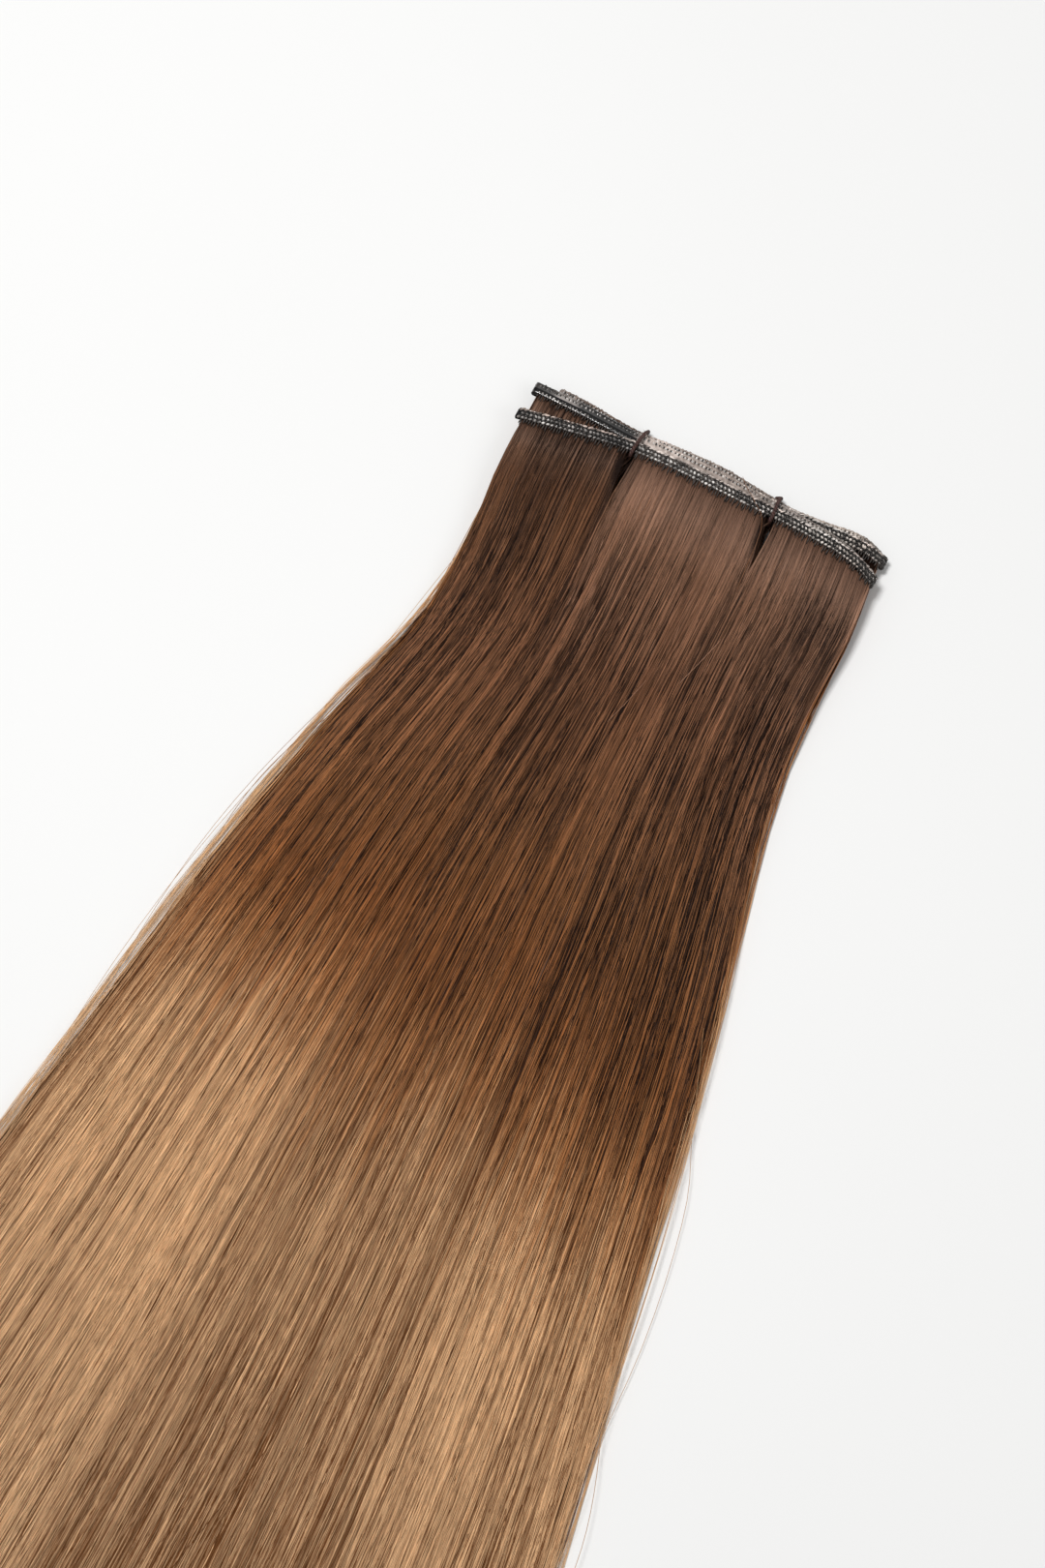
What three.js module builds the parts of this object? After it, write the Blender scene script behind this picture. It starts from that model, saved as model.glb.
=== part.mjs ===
// A hair weft lying flat: one long stitched band folded into four stacked runs, a curtain of hair
// sewn to each run, and two thread loops that tie the stack together.
// Millimetres. +X runs along the band, the hair points to -Y, and +Z is up.
// The origin is the middle of the lowest run's underside.
import * as THREE from "three";

// Band
const BAND_HEIGHT = 3.5; // across the three rows of stitches
const BAND_THICKNESS = 1.1;
const BAND_CHAMFER = 0.25;
const GROOVE_WIDTH = 0.45; // between two rows of stitches, on the stitched face
const GROOVE_DEPTH = 0.22;
const ROW_PITCH = 1.15; // from one row of stitches to the next
const RUN_PITCH = 1.7; // from one run of the band up to the next
const FOLD_X = 53.6; // where the band starts to turn back on itself
const FREE_END_TOP = -55; // left ends of the top and the lowest run
const FREE_END_LOWEST = -48.3;
const FREE_END_ROUNDING = 0.8; // length over which a free end is rounded off
const FREE_END_SHRINK = 0.7; // share of the section that is left at the very end
const RUN_STEPS = 20; // closer together towards the ends of a run
const FOLD_STEPS = 5;

// Hair
const HAIR_LENGTH = 500;
const HAIR_FILL = 0.65; // share of a layer's pitch that is hair, and the rest is air
const ROOT_GAP = 0.3; // from the band's lower edge to the hair
const DROP_START = 9.5; // distance below the origin at which the hair starts to come down
const DROP_LENGTH = 50; // and over which it reaches the table, in the middle
const DROP_LENGTH_AT_EDGES = 15; // the edges take this much more
const EDGE_SHARPNESS = 2.5; // a higher power keeps the thinning nearer to the edges
const SPREAD_LENGTH = 100; // over which a curtain takes up its own share of the fan
const LOCK_GROOVE = 0.38; // share of the thickness that is missing between two locks
const LOCK_GROOVE_START = 32; // distance from the root at which the grooves are fully formed
const LOCK_WANDER = 0.22; // sideways, as a share of a lock's half width
const WANDER_PHASE = { column: 2.3, level: 1.7 }; // radians from one column or layer to the next
const TIP_NOTCH = 24; // how far the gaps between the lock tips reach back
const TIP_UNEVEN = 15; // how much shorter some locks are
const UNEVEN_PHASE = { column: 1.9, level: 1 };
const TIP_SHARPNESS = 8; // a higher power keeps the notches nearer to the tips
const TIP_THICKNESS = 0.55; // share of the thickness that is left at the tips

// Ties
const TIE_X = 21.5; // left and right of the middle
const TIE_DIAMETER = 1.1;
const TIE_GAP = 0.3;
const TIE_SIDES = 8;
const TIE_STEPS = 36;
const CORNER_STEPS = 2;
const SLIT_HALF_WIDTHS = [1.25, 1.2, 0.8, 0]; // at the first rows of hair, beside the thread

// Each tie with the side that it is on, and how far it leans sideways at the far edge, over and under it
const TIES = [
  { name: "tie_left", side: -1, over: 0.6, under: 0.2 },
  { name: "tie_right", side: 1, over: -0.6, under: -2 },
];

// The thread under the band holds it this far above the table.
const TABLE_DROP = TIE_DIAMETER + TIE_GAP;

// Middle line of each run of the band, from the left end to the right end
const BAND_LINE = [
  { x: -55, a: -12.1, b: -2.5, c: -2.5, d: 0.0 },
  { x: -42, a: -9.5, b: -2.4, c: -2.3, d: 0.0 },
  { x: -23, a: -6.1, b: -2.9, c: -2.3, d: -1.1 },
  { x: -14, a: -5.4, b: -2.7, c: -2.0, d: -0.4 },
  { x: 3, a: -5.2, b: -2.5, c: -1.9, d: 0.3 },
  { x: 14, a: -5.2, b: -2.9, c: -2.1, d: -0.6 },
  { x: 25, a: -5.1, b: -3.3, c: -2.2, d: -1.4 },
  { x: 36, a: -5.5, b: -3.9, c: -1.7, d: -0.5 },
  { x: 44, a: -6.2, b: -5.2, c: -1.2, d: 0.5 },
  { x: 49, a: -7.4, b: -7.0, c: -1.4, d: 0.0 },
  { x: 55, a: -10.2, b: -10.2, c: -2.7, d: -2.7 },
];

// Outline of the whole fan of hair by distance below the origin, with the pitch of its four layers
// in the middle and the share of that pitch at the two edges
const FAN = [
  { below: 0, left: -53.5, right: 54.5, pitch: 1.7, edge: 1.0 },
  { below: 28, left: -53.0, right: 57.5, pitch: 1.7, edge: 0.9 },
  { below: 53, left: -51.0, right: 57.0, pitch: 1.62, edge: 0.72 },
  { below: 78, left: -53.0, right: 59.0, pitch: 1.55, edge: 0.62 },
  { below: 103, left: -60.0, right: 64.5, pitch: 1.5, edge: 0.6 },
  { below: 143, left: -68.5, right: 74.5, pitch: 1.45, edge: 0.62 },
  { below: 223, left: -79.5, right: 90.0, pitch: 1.35, edge: 0.67 },
  { below: 278, left: -86.0, right: 100.5, pitch: 1.28, edge: 0.7 },
  { below: 343, left: -93.0, right: 110.0, pitch: 1.2, edge: 0.75 },
  { below: 423, left: -100.0, right: 118.0, pitch: 1.08, edge: 0.84 },
  { below: 510, left: -104.0, right: 122.0, pitch: 0.95, edge: 0.95 },
];

// Distance of each row of points from the root
const ROWS = [0, 5, 11, 20, 32, 46, 62, 84, 115, 160, 215, 285, 365, 440, HAIR_LENGTH];

// The curtain of each run, from the lowest up: its two ends at the root, the share of the fan that it
// fills further down, its length, and the locks left of, between and right of the ties
const CURTAINS = [
  { run: "d", level: 0, left: -45, right: 53, fills: [0.03, 0.985], reach: 0.985, locks: [4, 7, 5] },
  { run: "c", level: 1, left: -53, right: 53.5, fills: [0.01, 1], reach: 1, locks: [3, 5, 3] },
  { run: "b", level: 2, left: -53, right: 54.2, fills: [0, 0.98], reach: 0.97, locks: [3, 5, 3] },
  { run: "a", level: 3, left: -53.2, right: 54.2, fills: [0.015, 0.99], reach: 0.99, locks: [5, 7, 5] },
];

const mix = THREE.MathUtils.lerp;
const ease = THREE.MathUtils.smoothstep;
const wave = (phase, column, level) => Math.sin(phase.column * column + phase.level * level);

// A smooth curve through one column of a table, read by another column.
function through(table, from, to) {
  const positions = table.map((row) => row[from]);
  const values = table.map((row) => row[to]);
  const curve = new THREE.CubicInterpolant(positions, values, 1, [0]);
  return (at) => curve.evaluate(at)[0];
}

const bandLine = Object.fromEntries(["a", "b", "c", "d"].map((run) => [run, through(BAND_LINE, "x", run)]));
const fanLeft = through(FAN, "below", "left");
const fanRight = through(FAN, "below", "right");
const layerPitch = through(FAN, "below", "pitch");
const edgeShare = through(FAN, "below", "edge");
const runBottom = (level) => level * RUN_PITCH;

function geometryOf(points, index) {
  const geometry = new THREE.BufferGeometry().setFromPoints(points);
  geometry.setIndex(index);
  geometry.computeVertexNormals();
  return geometry;
}

// The closed solid between two matching sheets of points. The cells are the sheet's quads, and every
// cell edge that no second cell uses gets a wall from the top sheet to the bottom one.
function closedSheet(top, bottom, cells) {
  const count = top.length;
  const index = [];
  const addQuad = (p, q, r, s) => index.push(p, q, r, p, r, s);
  const edges = new Map();
  for (const [p, q, r, s] of cells) {
    addQuad(p, q, r, s);
    addQuad(p + count, s + count, r + count, q + count);
    for (const edge of [[p, q], [q, r], [r, s], [s, p]]) edges.set(edge.join(), edge);
  }
  for (const [from, to] of edges.values()) {
    if (!edges.has([to, from].join())) addQuad(to, from, from + count, to + count);
  }
  return geometryOf([...top, ...bottom], index);
}

// The closed solid swept through matching rings of points, with a flat cap on each end.
function sweptRings(rings) {
  const size = rings[0].length;
  const index = [];
  for (let ring = 0; ring + 1 < rings.length; ring++) {
    for (let i = 0; i < size; i++) {
      const next = (i + 1) % size;
      const [p, q] = [ring * size + i, ring * size + next];
      index.push(p, q, q + size, p, q + size, p + size);
    }
  }
  const lastRing = (rings.length - 1) * size;
  const flat = rings[0].map((point) => new THREE.Vector2(point.y, point.z));
  for (const [p, q, r] of THREE.ShapeUtils.triangulateShape(flat, [])) {
    index.push(p, r, q, lastRing + p, lastRing + q, lastRing + r);
  }
  return geometryOf(rings.flat(), index);
}

// Cross-section of the band, as offsets along Y and out of the stitched face: chamfered corners, a
// plain back, and two grooves that leave three raised rows on the stitched face.
function bandProfile() {
  const [edge, face] = [BAND_HEIGHT / 2, BAND_THICKNESS / 2];
  const groove = (middle) => [
    [middle - GROOVE_WIDTH / 2, face],
    [middle, face - GROOVE_DEPTH],
    [middle + GROOVE_WIDTH / 2, face],
  ];
  return [
    [-edge, face - BAND_CHAMFER],
    [-edge, BAND_CHAMFER - face],
    [BAND_CHAMFER - edge, -face],
    [edge - BAND_CHAMFER, -face],
    [edge, BAND_CHAMFER - face],
    [edge, face - BAND_CHAMFER],
    [edge - BAND_CHAMFER, face],
    ...groove(ROW_PITCH / 2).reverse(),
    ...groove(-ROW_PITCH / 2).reverse(),
    [BAND_CHAMFER - edge, face],
  ];
}

// Stations along the whole band: the place of its middle, the angle that it has turned through in the
// XZ plane, and the share of its section that is left there.
function bandStations() {
  const stations = [];
  const middle = (level) => runBottom(level) + BAND_THICKNESS / 2;
  const add = (run, x, z, turn, share = 1) => stations.push({ x, y: bandLine[run](x), z, turn, share });
  const addRun = (run, level, from, to, turn) => {
    for (let i = 0; i <= RUN_STEPS; i++) {
      const along = 0.5 - 0.5 * Math.cos((Math.PI * i) / RUN_STEPS);
      add(run, mix(from, to, along), middle(level), turn);
    }
  };
  const addFold = (run, level, side) => {
    const centre = middle(level) - RUN_PITCH / 2;
    for (let i = 1; i < FOLD_STEPS; i++) {
      const turn = (Math.PI * i) / FOLD_STEPS;
      const x = side * (FOLD_X + (RUN_PITCH / 2) * Math.sin(turn));
      add(run, x, centre + (RUN_PITCH / 2) * Math.cos(turn), side > 0 ? turn : Math.PI - turn);
    }
  };
  add("a", FREE_END_TOP, middle(3), 0, FREE_END_SHRINK);
  addRun("a", 3, FREE_END_TOP + FREE_END_ROUNDING, FOLD_X, 0);
  addFold("a", 3, 1);
  addRun("b", 2, FOLD_X, -FOLD_X, Math.PI);
  addFold("b", 2, -1);
  addRun("c", 1, -FOLD_X, FOLD_X, 0);
  addFold("c", 1, 1);
  addRun("d", 0, FOLD_X, FREE_END_LOWEST + FREE_END_ROUNDING, Math.PI);
  add("d", FREE_END_LOWEST, middle(0), Math.PI, FREE_END_SHRINK);
  return stations;
}

function weftBand() {
  const profile = bandProfile();
  const rings = bandStations().map(({ x, y, z, turn, share }) =>
    profile.map(([across, out]) => {
      const away = out * share;
      return new THREE.Vector3(x + away * Math.sin(turn), y + across * share, z + away * Math.cos(turn));
    }),
  );
  return sweptRings(rings);
}

// Height of a layer's underside and the pitch of the layers, at a place across the fan (0 left, 1 right).
function layerAt(share, below) {
  const outward = Math.abs(2 * share - 1);
  const dropLength = DROP_LENGTH + DROP_LENGTH_AT_EDGES * outward ** 2;
  const drop = TABLE_DROP * ease(below, DROP_START, DROP_START + dropLength);
  const thinning = (1 - edgeShare(below)) * outward ** EDGE_SHARPNESS;
  return { base: -drop, pitch: layerPitch(below) * (1 - thinning) };
}

// Columns of points across a curtain: valleys between the locks alternate with crowns along them.
function lockColumns({ level, left, right, locks }) {
  const limits = [left, -TIE_X, TIE_X, right];
  const columns = [];
  locks.forEach((count, panel) => {
    const [from, to] = [limits[panel], limits[panel + 1]];
    const halfLock = (to - from) / (2 * count);
    for (let i = panel === 0 ? 0 : 1; i <= 2 * count; i++) {
      const atLimit = i === 0 || i === 2 * count;
      const wander = atLimit ? 0 : LOCK_WANDER * halfLock * wave(WANDER_PHASE, i, level);
      columns.push({ rootX: from + i * halfLock + wander, crown: i % 2 === 1, atLimit });
    }
  });
  return columns;
}

// One curtain of hair: locks side by side, fused at the root and parted at the tips, with a slit that
// opens from the root where each tie passes through.
function hairCurtain(curtain) {
  const { run, level, left, right, fills, reach } = curtain;
  const columns = lockColumns(curtain);
  const top = [];
  const bottom = [];
  const known = new Map();

  function addPoint(row, column, slitSide) {
    const { rootX, crown } = columns[column];
    const share = ROWS[row] / HAIR_LENGTH;
    const rootY = bandLine[run](rootX) - BAND_HEIGHT / 2 - ROOT_GAP;
    const uneven = (TIP_UNEVEN * (1 + wave(UNEVEN_PHASE, column, level))) / 2;
    const shorter = (crown ? uneven : TIP_NOTCH) * share ** TIP_SHARPNESS;
    const below = -rootY + ROWS[row] * reach - shorter;
    const rootShare = THREE.MathUtils.inverseLerp(fanLeft(-rootY), fanRight(-rootY), rootX);
    const ownShare = mix(...fills, THREE.MathUtils.inverseLerp(left, right, rootX));
    const across = mix(rootShare, ownShare, ease(ROWS[row], 0, SPREAD_LENGTH));
    const x = mix(fanLeft(below), fanRight(below), across) + slitSide * (SLIT_HALF_WIDTHS[row] ?? 0);
    const { base, pitch } = layerAt(across, below);
    const groove = crown ? 0 : LOCK_GROOVE * ease(ROWS[row], 0, LOCK_GROOVE_START);
    const thickness = pitch * HAIR_FILL * (1 - groove) * mix(1, TIP_THICKNESS, share ** TIP_SHARPNESS);
    const underside = base + level * pitch;
    top.push(new THREE.Vector3(x, -below, underside + thickness));
    bottom.push(new THREE.Vector3(x, -below, underside));
    return top.length - 1;
  }

  // The two sides of a slit have points of their own until the row where the slit closes.
  function pointAt(row, column, cellColumn) {
    const { atLimit } = columns[column];
    const inside = column > 0 && column < columns.length - 1;
    const open = atLimit && inside && row < SLIT_HALF_WIDTHS.length - 1;
    const slitSide = open ? (cellColumn < column ? -1 : 1) : 0;
    const key = [row, column, slitSide].join();
    if (!known.has(key)) known.set(key, addPoint(row, column, slitSide));
    return known.get(key);
  }

  const cells = [];
  for (let row = 0; row + 1 < ROWS.length; row++) {
    for (let column = 0; column + 1 < columns.length; column++) {
      const corners = [[row, column], [row + 1, column], [row + 1, column + 1], [row, column + 1]];
      cells.push(corners.map(([r, c]) => pointAt(r, c, column)));
    }
  }
  return closedSheet(top, bottom, cells);
}

// The loop of a tie: the outline of the stacked runs at that place, kept clear by half a thread and a
// gap, with round corners. Its lean over the top may differ from its lean underneath.
function tieLoop({ side, over, under }) {
  const x = side * TIE_X;
  const clear = TIE_DIAMETER / 2 + TIE_GAP;
  const half = BAND_HEIGHT / 2;
  const upper = (level) => runBottom(level) + BAND_THICKNESS;
  const [near, far] = [bandLine.a(x) - half, bandLine.d(x) + half];
  const corners = [
    { y: near, z: 0 },
    { y: far, z: 0 },
    { y: far, z: upper(0) },
    { y: bandLine.b(x) + half, z: upper(2) },
    { y: bandLine.a(x) + half, z: upper(3) },
    { y: near, z: upper(3) },
  ];
  const outward = corners.map((corner, i) => {
    const next = corners[(i + 1) % corners.length];
    return Math.atan2(corner.y - next.y, next.z - corner.z);
  });
  const points = corners.flatMap(({ y, z }, i) => {
    const from = outward.at(i - 1);
    const turn = THREE.MathUtils.euclideanModulo(outward[i] - from, 2 * Math.PI);
    return Array.from({ length: CORNER_STEPS + 1 }, (_, step) => {
      const angle = from + (turn * step) / CORNER_STEPS;
      const pointY = y + clear * Math.cos(angle);
      const pointZ = z + clear * Math.sin(angle);
      const lean = THREE.MathUtils.mapLinear(pointZ - upper(0) / 2, -clear, clear, under, over);
      const sideways = THREE.MathUtils.clamp(lean, Math.min(over, under), Math.max(over, under));
      return new THREE.Vector3(x + sideways * ease(pointY, near, far), pointY, pointZ);
    });
  });
  const path = new THREE.CatmullRomCurve3(points, true);
  return new THREE.TubeGeometry(path, TIE_STEPS, TIE_DIAMETER / 2, TIE_SIDES, true);
}

const bandMaterial = () => new THREE.MeshStandardMaterial({ color: 0x2b2827, roughness: 0.35 });
const hairMaterial = () => new THREE.MeshStandardMaterial({ color: 0x6b4630, roughness: 0.45 });
const tieMaterial = () => new THREE.MeshStandardMaterial({ color: 0x4a2a1f, roughness: 0.7 });

function named(name, geometry, material) {
  const mesh = new THREE.Mesh(geometry, material);
  mesh.name = name;
  return mesh;
}

const weft = new THREE.Group();
weft.add(named("weft_band", weftBand(), bandMaterial()));
for (const curtain of CURTAINS) {
  weft.add(named(`hair_run_${curtain.run}`, hairCurtain(curtain), hairMaterial()));
}
for (const tie of TIES) {
  weft.add(named(tie.name, tieLoop(tie), tieMaterial()));
}

export default weft;
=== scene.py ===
import math

import bpy
import numpy as np
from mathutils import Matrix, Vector

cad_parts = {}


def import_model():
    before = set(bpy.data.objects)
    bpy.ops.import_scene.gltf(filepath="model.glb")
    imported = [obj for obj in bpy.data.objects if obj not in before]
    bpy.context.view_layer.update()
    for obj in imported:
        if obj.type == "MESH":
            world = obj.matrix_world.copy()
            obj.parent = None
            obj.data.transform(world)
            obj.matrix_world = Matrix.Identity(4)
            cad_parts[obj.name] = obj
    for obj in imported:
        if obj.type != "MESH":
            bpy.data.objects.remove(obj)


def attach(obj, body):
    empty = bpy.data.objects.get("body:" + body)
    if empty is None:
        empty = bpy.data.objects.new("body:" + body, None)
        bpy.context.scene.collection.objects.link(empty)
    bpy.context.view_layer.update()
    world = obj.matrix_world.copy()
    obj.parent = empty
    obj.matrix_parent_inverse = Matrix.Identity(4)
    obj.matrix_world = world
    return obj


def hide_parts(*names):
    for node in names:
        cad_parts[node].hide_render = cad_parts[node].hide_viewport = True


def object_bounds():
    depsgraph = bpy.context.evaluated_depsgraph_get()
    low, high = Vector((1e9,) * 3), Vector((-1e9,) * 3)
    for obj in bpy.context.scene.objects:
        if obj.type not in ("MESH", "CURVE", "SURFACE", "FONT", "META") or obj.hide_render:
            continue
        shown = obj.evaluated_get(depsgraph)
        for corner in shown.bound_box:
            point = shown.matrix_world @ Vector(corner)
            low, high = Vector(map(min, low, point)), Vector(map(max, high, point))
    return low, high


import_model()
CAD_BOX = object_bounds()

# A hair weft lying on a table: single hairs, stitches and twisted thread round the solids of the frame.
# Lengths are in millimetres, and in metres in Blender. Colours are sRGB, 0 to 255.
# ease() takes where a change starts and where it is complete, mostly in millimetres out from the root.
MM = 0.001
SEED = 11
TURN = 2 * np.pi

# Camera: angles and distance round a point on the table
VIEW_AZIMUTH = 27.96
VIEW_ELEVATION = 75.0
VIEW_AIM = (-4.4, -104.8, 0.0)
VIEW_DISTANCE = 889.0

# Stage and light. Softboxes: metres right of, up from and above the aim, size in metres, watts
FLOOR_HALF_SIZE = 4000.0
SOFTBOXES = {"key": (-0.4, 0.3, 1.6, 0.45, 19.3), "fill": (0.9, -0.5, 1.1, 0.8, 2.2)}

# Band, as in the solids
BAND_HEIGHT = 3.5
BAND_THICKNESS = 1.1
RUN_PITCH = 1.7
FOLD_X = 53.6
FREE_END_TOP = -55.0
FREE_END_LOWEST = -48.3
BAND_LINE = {
    "x": (-55, -42, -23, -14, 3, 14, 25, 36, 44, 49, 55),
    "a": (-12.1, -9.5, -6.1, -5.4, -5.2, -5.2, -5.1, -5.5, -6.2, -7.4, -10.2),
    "b": (-2.5, -2.4, -2.9, -2.7, -2.5, -2.9, -3.3, -3.9, -5.2, -7.0, -10.2),
    "c": (-2.5, -2.3, -2.3, -2.0, -1.9, -2.1, -2.2, -1.7, -1.2, -1.4, -2.7),
    "d": (0.0, 0.0, -1.1, -0.4, 0.3, -0.6, -1.4, -0.5, 0.5, 0.0, -2.7),
}

# Hair, as in the solids
HAIR_LENGTH = 500.0
HAIR_FILL = 0.65
ROOT_GAP = 0.3
DROP_START = 9.5
DROP_LENGTH = 50.0
DROP_LENGTH_AT_EDGES = 15.0
TABLE_DROP = 1.4
EDGE_SHARPNESS = 2.5
SPREAD_LENGTH = 100.0
LOCK_GROOVE = 0.38
LOCK_GROOVE_START = 32.0
LOCK_WANDER = 0.22
TIP_NOTCH = 24.0
TIP_UNEVEN = 15.0
TIP_SHARPNESS = 8
TIP_THICKNESS = 0.55
FAN = {
    "below": (0, 28, 53, 78, 103, 143, 223, 278, 343, 423, 510),
    "left": (-53.5, -53, -51, -53, -60, -68.5, -79.5, -86, -93, -100, -104),
    "right": (54.5, 57.5, 57, 59, 64.5, 74.5, 90, 100.5, 110, 118, 122),
    "pitch": (1.7, 1.7, 1.62, 1.55, 1.5, 1.45, 1.35, 1.28, 1.2, 1.08, 0.95),
    "edge": (1, 0.9, 0.72, 0.62, 0.6, 0.62, 0.67, 0.7, 0.75, 0.84, 0.95),
}
CURTAINS = {
    "d": dict(level=0, left=-45, right=53, fills=(0.03, 0.985), reach=0.985, locks=(4, 7, 5)),
    "c": dict(level=1, left=-53, right=53.5, fills=(0.01, 1), reach=1, locks=(3, 5, 3)),
    "b": dict(level=2, left=-53, right=54.2, fills=(0, 0.98), reach=0.97, locks=(3, 5, 3)),
    "a": dict(level=3, left=-53.2, right=54.2, fills=(0.015, 0.99), reach=0.99, locks=(5, 7, 5)),
}

# Ties, as in the solids
TIE_X = 21.5
TIE_DIAMETER = 1.1
TIE_GAP = 0.3
TIE_LEAN = {"tie_left": {"over": 0.6, "under": 0.2}, "tie_right": {"over": -0.6, "under": -2.0}}
SLIT_HALF_WIDTH = {"a": 1.2, "b": 1.0, "c": 0.75, "d": 0.5}
SLIT_REACH = 5.0
SLIT_START = 8.3
SLIT_LENGTH = {"a": 17.0, "b": 13.0, "c": 10.0, "d": 7.0}

rng = np.random.default_rng(SEED)


def mix(a, b, share):
    return a + (b - a) * share


def ease(at, start, end):
    share = np.clip((at - start) / (end - start), 0, 1)
    return share * share * (3 - 2 * share)


def through(table, read, give):
    """A smooth curve through one column of a table, read by another column."""
    at = np.array(table[read], float)
    values = np.array(table[give], float)
    secant = np.diff(values) / np.diff(at)
    slope = np.r_[secant[0], (secant[:-1] + secant[1:]) / 2, secant[-1]]

    def curve(where):
        where = np.clip(where, at[0], at[-1])
        i = np.clip(np.searchsorted(at, where, side="right") - 1, 0, len(at) - 2)
        span = at[i + 1] - at[i]
        p = (where - at[i]) / span
        start = (2 * p**3 - 3 * p**2 + 1) * values[i] + (p**3 - 2 * p**2 + p) * span * slope[i]
        end = (3 * p**2 - 2 * p**3) * values[i + 1] + (p**3 - p**2) * span * slope[i + 1]
        return start + end

    return curve


band_line = {run: through(BAND_LINE, "x", run) for run in "abcd"}
fan_left = through(FAN, "below", "left")
fan_right = through(FAN, "below", "right")
layer_pitch = through(FAN, "below", "pitch")
edge_share = through(FAN, "below", "edge")


# Meshes

# The hair's colour is read from the first UV map, and the second is the same for the export's bake
UV_MAPS = ("tone_and_length", "OFBake")
UV_LIMITS = (0.005, 0.995)
# How the tone of a hair differs from side to side
TONE_ROUND_HAIR = 0.012 * np.array([-1, 0, 1])
# A direction that no tube follows, to turn their sections by
SECTION_UP = (0.13, 0.0, 1.0)


def add_object(name, data):
    made = bpy.data.objects.new(name, data)
    bpy.context.collection.objects.link(made)
    return made


def add_piece(name, points, polygons, materials, replaced=(), uv=None, faces_of=None):
    """A mesh piece on the one body. polygons is a list of index arrays, one for each number of corners."""
    mesh = bpy.data.meshes.new(name)
    corners = np.concatenate([p.ravel() for p in polygons])
    sizes = np.concatenate([np.full(len(p), p.shape[1]) for p in polygons])
    starts = np.r_[0, np.cumsum(sizes)[:-1]]
    mesh.vertices.add(len(points))
    mesh.vertices.foreach_set("co", (np.asarray(points) * MM).ravel().astype(np.float32))
    mesh.loops.add(len(corners))
    mesh.loops.foreach_set("vertex_index", corners.astype(np.int32))
    mesh.polygons.add(len(sizes))
    mesh.polygons.foreach_set("loop_start", starts.astype(np.int32))
    mesh.polygons.foreach_set("use_smooth", np.ones(len(sizes), bool))
    for material in materials:
        mesh.materials.append(material)
    if faces_of is not None:
        mesh.polygons.foreach_set("material_index", faces_of.astype(np.int32))
    if uv is not None:
        for map_name in UV_MAPS:
            layer = mesh.uv_layers.new(name=map_name)
            layer.uv.foreach_set("vector", uv[corners].ravel().astype(np.float32))
    mesh.update(calc_edges=True)
    piece = add_object(name, mesh)
    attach(piece, "root")
    if replaced:
        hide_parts(*replaced)


def tubes(paths, radii, sides=3, looped=False):
    """Closed tubes along many paths at once: paths is (tubes, rings, 3), radii (tubes, rings)."""
    count, rings = paths.shape[:2]
    ahead = np.roll(paths, -1, axis=1) - np.roll(paths, 1, axis=1)
    if not looped:
        ahead[:, 0] = paths[:, 1] - paths[:, 0]
        ahead[:, -1] = paths[:, -1] - paths[:, -2]
    ahead /= np.linalg.norm(ahead, axis=2, keepdims=True)
    across = np.cross(ahead, SECTION_UP)
    across /= np.linalg.norm(across, axis=2, keepdims=True)
    upward = np.cross(across, ahead)
    angle = np.pi / 2 + TURN * np.arange(sides) / sides
    ring = across[:, :, None] * np.cos(angle)[:, None] + upward[:, :, None] * np.sin(angle)[:, None]
    points = paths[:, :, None] + ring * radii[:, :, None, None]
    index = np.arange(count * rings * sides).reshape(count, rings, sides)
    here = index if looped else index[:, :-1]
    there = np.roll(index, -1, axis=1) if looped else index[:, 1:]
    quads = np.stack([here, np.roll(here, -1, axis=2), np.roll(there, -1, axis=2), there], -1)
    polygons = [quads.reshape(-1, 4)]
    if not looped:
        polygons += [index[:, 0, ::-1].reshape(-1, sides), index[:, -1].reshape(-1, sides)]
    return points.reshape(-1, 3), polygons


def hairs(name, paths, radii, tone, place, replaced=()):
    """A piece of many hairs. Tone, and the place along a hair that gives its colour, are kept as UVs."""
    points, polygons = tubes(paths, radii)
    uv = np.broadcast_arrays(tone[:, :, None] + TONE_ROUND_HAIR, place[:, :, None])
    uv = np.clip(np.stack(uv, -1).reshape(-1, 2), *UV_LIMITS)
    add_piece(name, points, polygons, [HAIR], replaced, uv)


# Materials

RELIEF = 0.1
GRAIN_DETAIL = 4.0
# Sockets of a Mix node that carry colours, by number since they share their names with others
MIX_FACTOR, MIX_FIRST, MIX_SECOND, MIX_RESULT = 0, 6, 7, 2


def linear(colour):
    share = np.array(colour, float) / 255
    return (*np.where(share <= 0.04045, share / 12.92, ((share + 0.055) / 1.055) ** 2.4), 1.0)


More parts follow.
